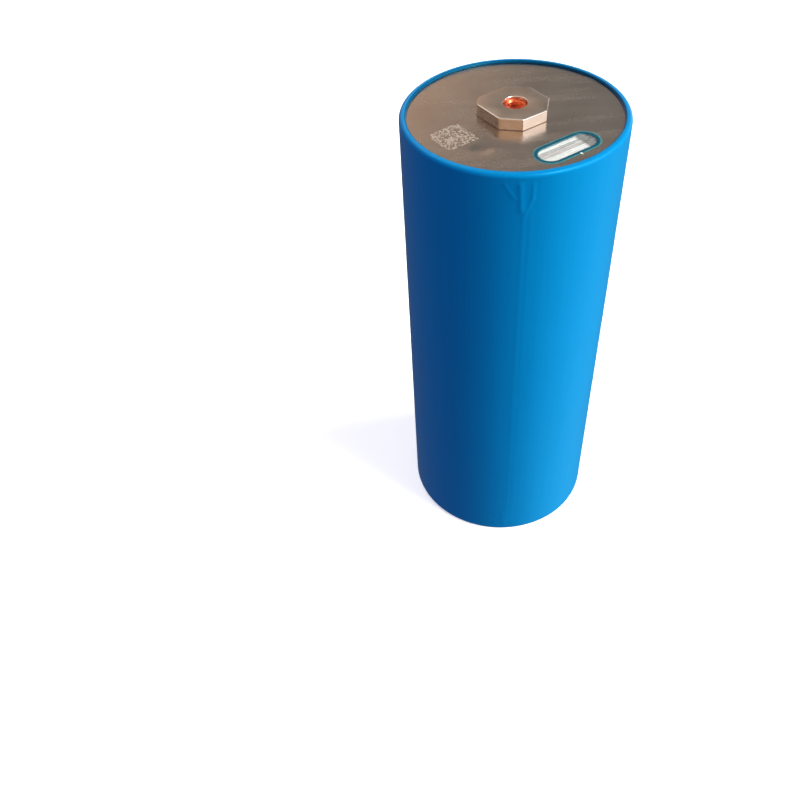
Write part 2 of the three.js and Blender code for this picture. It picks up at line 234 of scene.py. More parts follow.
def arc(centre, radius, start, end, steps):
    """Points on an arc, between two angles in degrees."""
    angles = (math.radians(start + (end - start) * i / steps) for i in range(steps + 1))
    return [(centre[0] + radius * math.cos(a), centre[1] + radius * math.sin(a)) for a in angles]


def smoothstep(value):
    """0 up to 0, 1 from 1 onwards, and an S-shaped rise between."""
    value = min(1, max(0, value))
    return value * value * (3 - 2 * value)


# ---- Material helpers ----
def add(tree, kind, values=(), **settings):
    """A node. Each value is a number or colour for a socket, or another node's output to link."""
    made = tree.nodes.new("ShaderNode" + kind)
    for key, setting in settings.items():
        setattr(made, key, setting)
    for socket, value in dict(values).items():
        if isinstance(value, bpy.types.NodeSocket):
            tree.links.new(value, made.inputs[socket])
        else:
            made.inputs[socket].default_value = value
    return made


def sum_of(tree, first, second, operation="ADD"):
    """Two numbers added, or put together by another operation."""
    return add(tree, "Math", {0: first, 1: second}, operation=operation).outputs[0]


def noise_of(tree, size, detail=2.0, stretch=(1, 1, 1), place=None):
    """Noise whose features are about size millimetres, longer along an axis by its stretch."""
    place = place or add(tree, "TexCoord").outputs["Object"]
    scale = tuple(1 / (size * MM * s) for s in stretch)
    fitted = add(tree, "Mapping", {"Vector": place, "Scale": scale}).outputs[0]
    return add(tree, "TexNoise", {"Vector": fitted, "Scale": 1.0, "Detail": detail}).outputs["Fac"]


def spread(tree, value, low, high, new_low, new_high):
    """Value taken smoothly from one range to another."""
    values = {0: value, 1: low, 2: high, 3: new_low, 4: new_high}
    return add(tree, "MapRange", values, interpolation_type="SMOOTHSTEP").outputs[0]


def blended(tree, factor, first, second):
    """Two colours mixed."""
    first, second = ((*c, 1) if isinstance(c, tuple) else c for c in (first, second))
    return add(tree, "Mix", {0: factor, 6: first, 7: second}, data_type="RGBA").outputs[2]


def raised(tree, height, depth):
    """A bump whose full height is depth millimetres."""
    return add(tree, "Bump", {"Height": height, "Distance": depth * MM}).outputs[0]


def material(name, **constants):
    """A material, its tree and its shader, with the constants set on the shader's own sockets."""
    made = bpy.data.materials.new(name)
    made.use_nodes = True
    tree = made.node_tree
    shader = tree.nodes["Principled BSDF"]
    for key, value in constants.items():
        socket = shader.inputs[key.replace("_", " ")]
        socket.default_value = (*value, 1) if isinstance(value, tuple) else value
    return made, tree, shader


def drive(tree, shader, **sources):
    """Links each source to the shader's socket of that name."""
    for key, source in sources.items():
        tree.links.new(source, shader.inputs[key.replace("_", " ")])


# ---- Materials ----
def sleeve_film(name, depth):
    """Satin blue film; depth scales its colour, and a depth below 1 darkens it as painted shade."""
    made, tree, shader = material(name, Specular_IOR_Level=0.22, Specular_Tint=(0.1, 0.75, 1.0))
    cloud = noise_of(tree, 30, 3)
    drawn = noise_of(tree, 0.9, 2, (1, 1, 60))
    grain = noise_of(tree, 0.35, 2)
    # Tones scaled by depth; below 1 this is painted shade.
    dark, light, faint = (tuple(c * depth for c in tone) for tone in FILM_TONES)
    colour = blended(tree, cloud, dark, light)
    colour = blended(tree, spread(tree, drawn, 0.3, 0.8, 0, 0.25), colour, faint)
    surface = sum_of(tree, sum_of(tree, drawn, 0.6, "MULTIPLY"), grain)
    drive(
        tree,
        shader,
        Base_Color=colour,
        Roughness=spread(tree, cloud, 0.3, 0.7, 0.31, 0.36),
        Normal=raised(tree, surface, 0.006),
    )
    return made


def etched(tree, place):
    """1 where a square of generic random dots is etched into the top cover."""
    angle = math.radians(CODE["angle"])
    out = CODE["radius"] * MM
    centre = (out * math.cos(angle), out * math.sin(angle), 0)
    away = add(tree, "VectorMath", {0: place, 1: centre}, operation="SUBTRACT").outputs[0]
    turn = (0, 0, -math.radians(CODE["turn"]))
    cell = CODE["size"] * MM / CODE["cells"]
    squared = add(tree, "Mapping", {"Vector": away, "Rotation": turn}).outputs[0]
    cells = (1 / cell, 1 / cell, 0)
    grid = add(tree, "Mapping", {"Vector": squared, "Scale": cells}).outputs[0]
    size = add(tree, "VectorMath", {0: grid}, operation="ABSOLUTE").outputs[0]
    wide, long, _ = add(tree, "SeparateXYZ", {0: size}).outputs
    reach = sum_of(tree, wide, long, "MAXIMUM")
    within = sum_of(tree, reach, CODE["cells"] / 2, "LESS_THAN")
    number = add(tree, "VectorMath", {0: grid}, operation="FLOOR").outputs[0]
    dice = add(tree, "TexWhiteNoise", {"Vector": number}, noise_dimensions="2D").outputs["Value"]
    marked = sum_of(tree, dice, 0.5, "GREATER_THAN")
    return sum_of(tree, within, marked, "MULTIPLY")


def cover_metal(name, code=False):
    """Rolled cover metal with smears and fine scratches, and the etched square if code is set."""
    made, tree, shader = material(name, Metallic=1.0)
    stain = noise_of(tree, 14, 4)
    smear = noise_of(tree, 4, 3, (5, 1, 1))
    rolled = noise_of(tree, 0.12, 2, (60, 1, 1))
    scratch = noise_of(tree, 0.25, 1, (1, 30, 1))
    stained = spread(tree, stain, 0.3, 0.7, 0, 1)
    colour = blended(tree, stained, (0.62, 0.54, 0.48), (0.7, 0.62, 0.56))
    colour = blended(tree, spread(tree, smear, 0.52, 0.7, 0, 0.2), colour, (0.52, 0.46, 0.42))
    scratched = spread(tree, scratch, 0.7, 0.8, 0, 0.04)
    rough = sum_of(tree, spread(tree, smear, 0.3, 0.75, 0.2, 0.3), scratched)
    height = sum_of(tree, rolled, sum_of(tree, stain, 0.5, "MULTIPLY"))
    if code:
        marks = etched(tree, add(tree, "TexCoord").outputs["Object"])
        drive(tree, shader, Metallic=spread(tree, marks, 0, 1, 1, 0.95))
        colour = blended(tree, sum_of(tree, marks, 0.28, "MULTIPLY"), colour, (0.95, 0.88, 0.8))
        rough = sum_of(tree, rough, sum_of(tree, marks, 0.18, "MULTIPLY"))
        height = sum_of(tree, height, sum_of(tree, marks, 1.5, "MULTIPLY"), "SUBTRACT")
    drive(tree, shader, Base_Color=colour, Roughness=rough, Normal=raised(tree, height, 0.002))
    return made


def block_metal():
    """Grey-brown milled metal; the top face has turning marks about the bore."""
    made, tree, shader = material("block_metal", Metallic=1.0)
    place = add(tree, "TexCoord").outputs["Object"]
    flat = add(tree, "Mapping", {"Vector": place, "Scale": (1, 1, 0)}).outputs[0]
    rings = add(
        tree,
        "TexWave",
        {"Vector": flat, "Scale": 1400.0, "Distortion": 1.5, "Detail": 2.0, "Detail Scale": 1.0},
        wave_type="RINGS",
        rings_direction="Z",
    ).outputs["Fac"]
    cloud = noise_of(tree, 3, 3)
    milled = noise_of(tree, 0.15, 2, (1, 1, 30))
    up = add(tree, "SeparateXYZ", {0: add(tree, "NewGeometry").outputs["Normal"]}).outputs[2]
    face = spread(tree, up, 0.8, 0.98, 0, 1)
    marks = blended(tree, face, milled, rings)
    sides = blended(tree, cloud, (0.66, 0.58, 0.52), (0.74, 0.66, 0.6))
    top = blended(tree, cloud, (0.47, 0.39, 0.335), (0.51, 0.43, 0.37))
    colour = blended(tree, face, sides, top)
    turned_rough = sum_of(tree, face, 0.16, "MULTIPLY")
    rough = sum_of(tree, spread(tree, cloud, 0.3, 0.7, 0.2, 0.27), turned_rough)
    drive(tree, shader, Base_Color=colour, Roughness=rough, Normal=raised(tree, marks, 0.006))
    return made


def copper():
    """Pitted red copper, darker in the middle and paler round its weld ring."""
    made, tree, shader = material("copper", Metallic=1.0)
    cloud = noise_of(tree, 1.3, 3)
    pit = noise_of(tree, 0.3, 2)
    place = add(tree, "TexCoord").outputs["Object"]
    flat = add(tree, "Mapping", {"Vector": place, "Scale": (1, 1, 0)})
    out = add(tree, "VectorMath", {0: flat.outputs[0]}, operation="LENGTH").outputs["Value"]
    clouded = spread(tree, cloud, 0.35, 0.65, 0, 1)
    colour = blended(tree, clouded, (0.86, 0.08, 0.015), (0.95, 0.13, 0.03))
    colour = blended(tree, spread(tree, out, 0.0005, 0.0016, 1, 0), colour, (0.6, 0.03, 0.005))
    colour = blended(tree, spread(tree, out, 0.002, 0.0026, 0, 0.5), colour, (1.0, 0.28, 0.14))
    rough = spread(tree, pit, 0.3, 0.7, 0.22, 0.36)
    drive(tree, shader, Base_Color=colour, Roughness=rough, Normal=raised(tree, pit, 0.03))
    return made


def foil():
    """Vent foil with fine streaks along the slot: its grain, with painted highlights on the bright
    streaks, painted dark reflection bands and a painted dark reflection towards one end.
    """
    made, tree, shader = material("vent_foil", Metallic=0.62)
    place = add(tree, "TexCoord").outputs["Object"]
    slot_turn = (0, 0, math.radians(-30))
    along = add(tree, "Mapping", {"Vector": place, "Rotation": slot_turn}).outputs[0]
    streak = noise_of(tree, 0.35, 3, (30, 1, 1), along)
    reflection_band = noise_of(tree, 1.6, 1, (30, 1, 1), along)
    # The grain's bright streaks are painted highlights; the dark bands are painted reflections.
    grain_highlight = spread(tree, streak, 0.35, 0.65, 0, 1)
    colour = blended(tree, grain_highlight, (0.8, 0.79, 0.8), (0.97, 0.98, 1.0))
    colour = blended(tree, spread(tree, reflection_band, 0.5, 0.56, 0, 0.75), colour, (0.42, 0.36, 0.36))
    u = add(tree, "SeparateXYZ", {0: along}).outputs[0]
    # Painted reflection: the foil's far end darkened to a brown-grey, as if it mirrored the cover.
    painted_reflection = spread(tree, u, FOIL_PAINTED_REFLECTION[0] * MM, FOIL_PAINTED_REFLECTION[1] * MM, 0, 0.92)
    colour = blended(tree, painted_reflection, colour, (0.13, 0.1, 0.095))
    rough = spread(tree, streak, 0.3, 0.7, 0.16, 0.3)
    drive(tree, shader, Base_Color=colour, Roughness=rough, Normal=raised(tree, streak, 0.03))
    return made


def seal_plastic(name, dark, light):
    """Glossy coloured sealant."""
    made, tree, shader = material(name, Roughness=0.25, Specular_IOR_Level=0.3)
    cloud = noise_of(tree, 2, 2)
    colour = blended(tree, cloud, dark, light)
    drive(tree, shader, Base_Color=colour, Normal=raised(tree, noise_of(tree, 0.3), 0.01))
    return made


def clear_film():
    """Thin clear film over a vent, slightly hazy."""
    made, tree, shader = material("clear_film", Base_Color=(0.86, 0.95, 1.0), Roughness=0.08)
    haze = noise_of(tree, 1.2, 2)
    drive(
        tree,
        shader,
        Alpha=spread(tree, haze, 0.3, 0.7, 0.03, 0.08),
        Normal=raised(tree, noise_of(tree, 2.5, 1), 0.05),
    )
    return made


def sheet_plastic(name, dark, light, roughness, grain=0.3):
    """A plain moulded or sheet plastic with a fine grain and slight clouding."""
    made, tree, shader = material(name)
    cloud = noise_of(tree, 6, 3)
    fine = noise_of(tree, grain, 2)
    drive(
        tree,
        shader,
        Base_Color=blended(tree, cloud, dark, light),
        Roughness=spread(tree, fine, 0.3, 0.7, roughness - 0.05, roughness + 0.05),
        Normal=raised(tree, fine, 0.01),
    )
    return made


def plain_metal(name, dark, light, roughness):
    """A rolled sheet metal with its grain along X."""
    made, tree, shader = material(name, Metallic=1.0)
    rolled = noise_of(tree, 0.2, 2, (40, 1, 1))
    drive(
        tree,
        shader,
        Base_Color=blended(tree, noise_of(tree, 8, 3), dark, light),
        Roughness=spread(tree, rolled, 0.3, 0.7, roughness - 0.06, roughness + 0.06),
        Normal=raised(tree, rolled, 0.005),
    )
    return made


# ---- Sleeve ----
def near(value, middle, width):
    """A soft bump, 1 at the middle and fading over the width."""
    return math.exp(-(((value - middle) / width) ** 2))


def line(u, z, start, end, width):
    """How close (u, z) is to a soft line between two points, from 0 to 1."""
    point, a, b = Vector((u, z)), Vector(start), Vector(end)
    t = min(1, max(0, (point - a).dot(b - a) / (b - a).length_squared))
    return near((point - a.lerp(b, t)).length, 0, width)


def pucker(u, down):
    """Height of the gathered film, u mm round the sleeve from a fold line, down mm from the rim."""
    groove = near(down, 2.0 - (u - 2) ** 2 / 60, 0.45) * near(u, 2, 8)
    total = -0.05 * groove
    for start, end, width, height in PUCKER_RIDGES:
        total += height * line(u, down, start, end, width)
    return total


def crease(u, down):
    """The fold line itself, a pair of low ridges that fade down the sleeve."""
    start = smoothstep((down - 8) / 6)
    height = 0.025 + 0.055 * math.exp(-down / 60)
    return start * height * (near(u, 1.1, 0.8) + 0.6 * near(u, 3.0, 0.7))


def sleeve_columns():
    """Angles in degrees, close together at the fold lines."""
    angles, angle = [], FOLD_LINES[0] - 180
    end = angle + 360
    while angle < end - 1e-6:
        angles.append(angle)
        off = min(abs((angle - f + 180) % 360 - 180) for f in FOLD_LINES)
        angle += 0.5 if off < 12 else (1 if off < 16 else 2)
    return angles


def sleeve_rows(bottom, top):
    """Heights up the outer wall, close together under each rim."""
    rows, down = [], 0
    length = top - bottom
    while down < length / 2:
        rows.append(down)
        down += 0.4 if down < 18 else (1.2 if down < 26 else 4)
    return [bottom + d for d in rows] + [bottom + length / 2] + [top - d for d in reversed(rows)]


def make_sleeve():
    """The film, folded in over both rims, with the marks of its shrinking, and painted shade on the
    folded-in edge.
    """
    low, high = extent("shrink_sleeve")
    radius, bottom, top = high.x, low.z, high.z
    corner, fold = RIM["corner"], RIM["fold"]
    inner = radius - 2 * corner + 0.2
    steps = RIM["steps"]

    def rim(sign, edge):
        """Points (radius, height) from the outer wall over the rim to the fold's end and back."""
        corner_at = (radius - corner, edge - sign * corner)
        fold_at = (inner + fold, edge - sign * fold)
        out = arc(corner_at, corner, 0, sign * 90, steps)
        out += arc(fold_at, fold, sign * 90, sign * 180, steps)
        end = fold_at[1] - sign * 0.1
        back = [(inner, end), (inner + SLEEVE_WALL, end)]
        back += arc(fold_at, fold - SLEEVE_WALL, sign * 180, sign * 90, 3)
        back += arc(corner_at, corner - SLEEVE_WALL, sign * 90, 0, 4)
        return out, back

    top_out, top_back = rim(1, top)
    low_out, low_back = rim(-1, bottom)
    wall = [(radius, z) for z in sleeve_rows(bottom + corner, top - corner)][1:-1]
    profile = [*reversed(low_out), *wall, *top_out, *top_back, *reversed(low_back)]
    angles = sleeve_columns()
    shown = len(low_out) + len(wall) + len(top_out)

    def lifted(index, angle, r, z):
        """The radius of a point of the profile with the film's waves, wrinkles and fold lines."""
        if index >= shown:
            return r
        x, y = math.cos(math.radians(angle)), math.sin(math.radians(angle))
        r += 0.03 * noise.noise(Vector((x * 1.6, y * 1.6, z / 24))) - 0.02
        near_rim = min(z - bottom, top - z)
        if r < radius - corner and near_rim < 1:
            return r + RIM["wrinkle"] * noise.noise(Vector((x * 14, y * 14, z)))
        for k, fold_line in enumerate(FOLD_LINES):
            drift = FOLD_DRIFT * (top - z) / (top - bottom) * (1 - 2 * k)
            off = (angle - fold_line - drift + 180) % 360 - 180
            u = math.radians(off) * radius
            if abs(u) > FOLD_REACH:
                continue
            mirrored = u if k == 0 else -u
            size = smoothstep((near_rim - 1.0) / 1.5) * (1 if k == 0 else FAR_FOLD)
            r += size * (pucker(mirrored, top - z) + crease(mirrored, top - z))
            r += size * LOWER_PUCKERS * pucker(-mirrored, z - bottom)
        return r

    bm = bmesh.new()
    grid = []
    for index, (r, z) in enumerate(profile):
        ring = []
        for angle in angles:
            a, rr = math.radians(angle), lifted(index, angle, r, z)
            ring.append(bm.verts.new((rr * math.cos(a), rr * math.sin(a), z)))
        grid.append(ring)
    for i, ring in enumerate(grid):
        bridge(bm, grid[i - 1], ring)
    # Faces near the lip's inner edge take the second, darker material: painted shade where the
    # folded film meets the cover.
    for face in bm.faces:
        middle = face.calc_center_median()
        face.material_index = int(middle.xy.length < inner + FOLD_SHADE)
    films = [sleeve_film("sleeve_film", 1), sleeve_film("sleeve_fold_painted_shade", FOLD_PAINTED_SHADE_TONE)]
    piece("sleeve", bm, films, ["shrink_sleeve"], sharp=60)


# ---- Covers ----
def dimple(distance):
    """How far the top cover is pressed in, at a distance from the filling port's middle."""
    if distance >= PORT_DISH["reach"]:
        return 0
    t = 1 - distance / PORT_DISH["reach"]
    return PORT_DISH["depth"] * smoothstep(t * 1.25)


def cover_stacks(node, seal_node, face, sign):
    """The outer edge and the vent's seat of a pan-shaped cover, from its outer face inwards."""
    low, high = extent(node)
    radius = high.x
    flange_inner = radius - 0.5
    flange_end = high.z if sign > 0 else low.z
    inside_face = low.z if sign > 0 else high.z
    outer = [
        (circle(flange_inner, 128), face),
        (circle(flange_inner, 128), flange_end),
        (circle(radius, 128), flange_end),
        (circle(radius, 128), inside_face),
    ]
    vent = vent_frame(seal_node)
    seat = vent_outline(vent, -0.1)
    window = vent_outline(vent, VENT_LEDGE - 0.1)
    floor = face - sign * VENT_SEAT
    return outer, [(seat, face), (seat, floor), (window, floor), (window, inside_face)], inside_face


def vent_frame(seal_node):
    """Centre, turn in degrees, length and width of a vent, from its seal's CAD mesh."""
    points = [v.co.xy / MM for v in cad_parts[seal_node].data.vertices]
    low, high = extent(seal_node)
    centre = ((low.x + high.x) / 2, (low.y + high.y) / 2)
    turn = math.degrees(math.atan2(centre[1], centre[0])) + 90
    along = Vector((math.cos(math.radians(turn)), math.sin(math.radians(turn))))
    across = Vector((-along.y, along.x))
    length = 2 * max(abs((p - Vector(centre)).dot(along)) for p in points)
    width = 2 * max(abs((p - Vector(centre)).dot(across)) for p in points)
    return {"centre": centre, "turn": turn, "length": length, "width": width}


def vent_outline(vent, inset):
    """The seal's outer outline, drawn in by inset."""
    shape = slot_outline(vent["length"] - 2 * inset, vent["width"] - 2 * inset)
    return moved(shape, vent["centre"], vent["turn"])


def make_top_cover(metal):
    """The top cover, pressed in round its filling port, and the port's cap."""
    low, high = extent("fill_port_cap")
    face = high.z
    port = ((low.x + high.x) / 2, (low.y + high.y) / 2)
    outer, seat, under = cover_stacks("top_cover", "top_vent_seal", face, 1)
    rim = PORT_RADIUS + PORT_GAP
    step = face - PORT_SEAT
    edge = face - dimple(rim)
    port_hole = [
        (circle(rim, 48, port), edge),
        (circle(rim, 48, port), step),
        (circle(PORT_BORE, 48, port), step),
        (circle(PORT_BORE, 48, port), under),
    ]
    post_hole = [(circle(POST_HOLE, 64), face), (circle(POST_HOLE, 64), under)]
    loose = []
    for i in range(1, 10):
        distance = rim + i * (PORT_DISH["reach"] - rim) / 9
        loose += [(x, y, face - dimple(distance)) for x, y in circle(distance, 48, port)]
    bm = plate(outer, [seat, port_hole, post_hole], loose)
    piece("top_cover_plate", bm, [metal], ["top_cover"], sharp=30)

    bm = bmesh.new()
    loops = []
    for i in range(1, 13):
        distance = PORT_RADIUS * i / 12
        height = face - dimple(distance)
        loops.append([bm.verts.new((x, y, height)) for x, y in circle(distance, 48, port)])
    loops.append([bm.verts.new((x, y, low.z)) for x, y in circle(PORT_RADIUS, 48, port)])
    for a, b in zip(loops, loops[1:]):
        bridge(bm, a, b)
    bm.faces.new(loops[0])
    bm.faces.new(loops[-1])
    piece("fill_port_dish", bm, [metal], ["fill_port_cap"], sharp=40)


def make_base(metal, dark):
    """The base cover and the notched insulating disc on it."""
    face = extent("base_vent_film")[1].z
    outer, seat, _ = cover_stacks("base_cover", "base_vent_seal", face, -1)
    piece("base_cover_plate", plate(outer, [seat]), [metal], ["base_cover"], sharp=30)

    low, high = extent("base_insulator")
    radius = max(-low.x, -low.y)
    vent = vent_frame("base_vent_seal")
    half, inner = CODE_NOTCH["width"] / 2, CODE_NOTCH["inner"]
    reach = math.degrees(math.asin(half / radius))
    rim = arc((0, 0), radius, reach, 360 - reach, 120)
    notch = [(inner, -half), (inner, half)]
    outline = moved(rim + notch, (0, 0), CODE_NOTCH["angle"])
    window = vent_outline(vent, -WINDOW_GAP)
    edge = [(outline, high.z), (outline, low.z)]
    bm = plate(edge, [[(window, high.z), (window, low.z)]])
    piece("base_disc", bm, [dark], ["base_insulator"], sharp=30)


# ---- Vents ----
def bead_section(bottom, face, top, sign):
    """The seal's section as (inset, height): a skirt on the cover's face and a rounded bead."""
    turns = [math.pi / 2 * i / 5 for i in range(1, 5)]
    section = [(0.0, bottom), (0.0, face)]
    section += [(-VENT_SKIRT, face + sign * 0.015), (-0.8 * VENT_SKIRT, face + sign * 0.04)]
    section += [(0.0, face + sign * 0.05)]
    for t in turns:
        height = face + (top - face) * (0.5 + 0.5 * math.sin(t))
        section.append((BEAD_EDGE * (1 - math.cos(t)), height))
    section += [(BEAD_EDGE, top), (VENT_BORDER - BEAD_EDGE, top)]
    for t in reversed(turns):
        inset = VENT_BORDER - BEAD_EDGE * (1 - math.cos(t))
        section.append((inset, top - sign * BEAD_EDGE * (1 - math.sin(t))))
    return [*section, (VENT_BORDER, top - sign * BEAD_EDGE), (VENT_BORDER, bottom)]


def make_vent(side, sign, foil_metal, seals, film):
    """A vent's seal, film and foil; sign is 1 for the top, where the seal is torn, or -1."""
    vent = vent_frame(f"{side}_vent_seal")
    low, high = extent(f"{side}_vent_seal")
    top, bottom = (high.z, low.z) if sign > 0 else (low.z, high.z)
    film_low, film_high = extent(f"{side}_vent_film")
    cover_face = film_high.z if sign > 0 else film_low.z
    section = bead_section(bottom, cover_face, top, sign)
    bm = bmesh.new()
    loops = []
    for inset, z in section:
        loops.append([bm.verts.new((x, y, z)) for x, y in vent_outline(vent, inset)])
    for i, loop in enumerate(loops):
        before = len(bm.faces)
        bridge(bm, loops[i - 1], loop)
        bm.faces.ensure_lookup_table()
        for face in bm.faces[before:]:
            face.material_index = int(i in (2, 3, 4))  # the skirt
    if side == "top":
        add_burr(bm, vent, high.z)
    piece(f"{side}_vent_gasket", bm, seals, [f"{side}_vent_seal"], sharp=50)

    low, high = extent(f"{side}_vent_film")
    pane = vent_outline(vent, VENT_BORDER + 0.05)
    bm = plate([(pane, high.z), (pane, low.z)])
    piece(f"{side}_vent_pane", bm, [film], [f"{side}_vent_film"], sharp=30)
    make_foil(side, sign, vent, foil_metal)


def add_burr(bm, vent, height):
    """A small torn nib of film on the seal's lower edge."""
    u, v, reach = BURR["u"], -vent["width"] / 2 + BURR["in"], BURR["reach"]
    corners = [(u - 0.45, v), (u + 0.45, v), (u + 0.1, v - reach)]
    corners = moved(corners, vent["centre"], vent["turn"])
    nib = [bm.verts.new((x, y, height - drop)) for (x, y), drop in zip(corners, (0.02, 0.02, 0.1))]
    peak = sum((v.co for v in nib), Vector()) / 3
    top = bm.verts.new((peak.x, peak.y, height))
    for a, b in zip(nib, nib[1:] + nib[:1]):
        bm.faces.new((a, b, top)).material_index = 2
    bm.faces.new(nib).material_index = 2


def border_of(sheet):
    """The outer vertices of a grid, in order."""
    inner = sheet[1:-1]
    right = [row[-1] for row in inner]
    left = [row[0] for row in reversed(inner)]
    return [*sheet[0], *right, *reversed(sheet[-1]), *left]


def make_foil(side, sign, vent, metal):
    """Vent foil with shallow ribs along the slot, flat where the seal holds it."""
    low, high = extent(f"{side}_vent_diaphragm")
    outer_face = high.z if sign > 0 else low.z
    length, width = vent["length"] - 0.05, vent["width"] - 0.05
    bm = bmesh.new()
    columns, rows = 72, 36
    grid = []
    for i in range(columns + 1):
        u = -length / 2 + length * (0.5 - 0.5 * math.cos(math.pi * i / columns))
        past = max(0, abs(u) - (length - width) / 2)
        half = math.sqrt(max(1e-4, (width / 2) ** 2 - past**2))
        line_of = []
        for k in range(rows + 1):
            v = half * (2 * k / rows - 1)
            edge = smoothstep((width / 2 - math.hypot(past, v) - VENT_BORDER) / 0.5)
            flat_end = smoothstep((length / 2 - FOIL_RIBS["flat_end"] - u) / 1.5)
            ribs = math.cos(v * 2 * math.pi / FOIL_RIBS["pitch"] + 0.4) * FOIL_RIBS["height"]
            ribs += math.cos(v * 5.1 + 1) * FOIL_RIBS["uneven"]
            depth = edge * (FOIL_RIBS["sunk"] + flat_end * ribs)
            line_of.append((u, v, outer_face - sign * depth))
        grid.append(line_of)
    turn = Matrix.Rotation(math.radians(vent["turn"]), 4, "Z")
    move = Matrix.Translation((*vent["centre"], 0)) @ turn
    upper = [[bm.verts.new(move @ Vector(p)) for p in row] for row in grid]
    thick = Vector((0, 0, sign * FOIL_THICK))
    lower = [[bm.verts.new(move @ (Vector(p) - thick)) for p in row] for row in grid]
    for sheet in (upper, lower):
        for a, b in zip(sheet, sheet[1:]):
            for k in range(rows):
                bm.faces.new((a[k], a[k + 1], b[k + 1], b[k]))
    bridge(bm, border_of(upper), border_of(lower))
    piece(f"{side}_vent_foil", bm, [metal], [f"{side}_vent_diaphragm"], sharp=50)


# ---- Terminal ----
def make_block(metal):
    """The eight-sided block with its rounded upper edges, and the insulator under it."""
    low, high = extent("terminal_block")
    top, bottom, bevel = high.z, low.z - BLOCK_SUNK, BLOCK_BEVEL
    outer = []
    for i in range(4):
        t = math.pi / 2 * i / 3
        outer.append((eight_sided(bevel * (1 - math.sin(t))), top - bevel * (1 - math.cos(t))))
    outer += [(eight_sided(0), top - bevel - 0.04), (eight_sided(0), bottom)]
    hole = []
    for i in range(4):
        t = math.pi / 2 * i / 3
        radius = BORE_RADIUS + BORE_BEVEL * (1 - math.sin(t))
        hole.append((circle(radius, 64), top - BORE_BEVEL * (1 - math.cos(t))))
    hole.append((circle(BORE_RADIUS, 64), bottom))
    bm = plate(outer, [hole])
    piece("terminal_block_milled", bm, [metal], ["terminal_block"], sharp=50)

    low, high = extent("outer_terminal_insulator")
    brown = sheet_plastic("insulator_plastic", (0.2, 0.13, 0.09), (0.26, 0.17, 0.12), 0.5)
    outline, neck = eight_sided(INSULATOR_INSET), circle(INSULATOR_BORE, 64)
    upper, lower = high.z - 0.05, low.z - 0.08
    bm = plate([(outline, upper), (outline, lower)], [[(neck, upper), (neck, lower)]])
    nodes = ["outer_terminal_insulator"]
    piece("terminal_insulator", bm, [brown], nodes, sharp=30)


def make_post(metal):
    """The copper post; its end is dished, with a raised weld ring and a small centre hollow."""
    low, high = extent("negative_post")
    foot = high.x
    top, bottom = high.z, low.z
    neck, spigot, chamfer = POST["neck"], POST["spigot"], POST["chamfer"]
    step = bottom + POST["base"]
    shoulder = extent("terminal_block")[0].z - 0.1
    outline = [(0.02, bottom), (foot, bottom), (foot, step), (neck, step), (neck, shoulder)]
    outline += [(spigot, shoulder), (spigot, top - chamfer), (spigot - chamfer, top)]
    end_from = len(outline) - 1
    for i in range(1, 22):
        r = (spigot - chamfer) * (1 - i / 22)
        ring = 0.1 * near(r, 2.3, 0.35)
        hollow = 0.18 * near(r, 0, 0.8)
        outline.append((r, top - POST["sunk"] * smoothstep((spigot - r) / 1.2) + ring - hollow))
    bm = bmesh.new()
    loops = []
    for k, (r, z) in enumerate(outline):
        ring = []
        for x, y in circle(r, 64):
            wobble = 0.05 * noise.noise(Vector((x * 1.4, y * 1.4, 3))) if k > end_from else 0
            ring.append(bm.verts.new((x, y, min(top, z + wobble))))
        loops.append(ring)
    for a, b in zip(loops, loops[1:]):
        bridge(bm, a, b)
    bm.faces.new(loops[0])
    bm.faces.new(loops[-1])
    piece("copper_post", bm, [metal], ["negative_post"], sharp=50)


# ---- What stays as the CAD made it, inside the cell ----
def finish_inner_nodes():
    """Looks for the pieces that keep the CAD model's shape."""
    pale = sheet_plastic("pale_moulding", (0.7, 0.69, 0.64), (0.8, 0.79, 0.75), 0.5)
    aluminium = plain_metal("rolled_aluminium", (0.68, 0.69, 0.7), (0.8, 0.81, 0.82), 0.3)
    inner = {
        aluminium: ["can_tube", "positive_collector", "positive_tab"],
        plain_metal("sheet_copper", (0.8, 0.32, 0.16), (0.92, 0.42, 0.24), 0.3): [
            "negative_collector",
            "negative_tab",
        ],
        pale: [
            "inner_terminal_insulator",
            "winding_core",
            "upper_spacer_ring",
            "lower_spacer_ring",
        ],
        sheet_plastic("seal_rubber", (0.012, 0.012, 0.013), (0.03, 0.03, 0.032), 0.65): [
            "post_seal_ring",
            "fill_port_plug",
        ],
        sheet_plastic("separator_film", (0.82, 0.82, 0.8), (0.9, 0.9, 0.88), 0.55): [
            "separator_inner",
            "separator_outer",
        ],
        sheet_plastic("cathode_coating", (0.02, 0.02, 0.023), (0.045, 0.045, 0.05), 0.8): [
            "cathode_sheet"
        ],
        sheet_plastic("anode_coating", (0.012, 0.011, 0.01), (0.03, 0.027, 0.025), 0.85): [
            "anode_sheet"
        ],
        sheet_plastic("wrap_film", (0.02, 0.1, 0.4), (0.04, 0.16, 0.5), 0.35): ["roll_wrap"],
    }
    for made, names in inner.items():
        for name in names:
            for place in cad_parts[name].material_slots:
                place.material = made


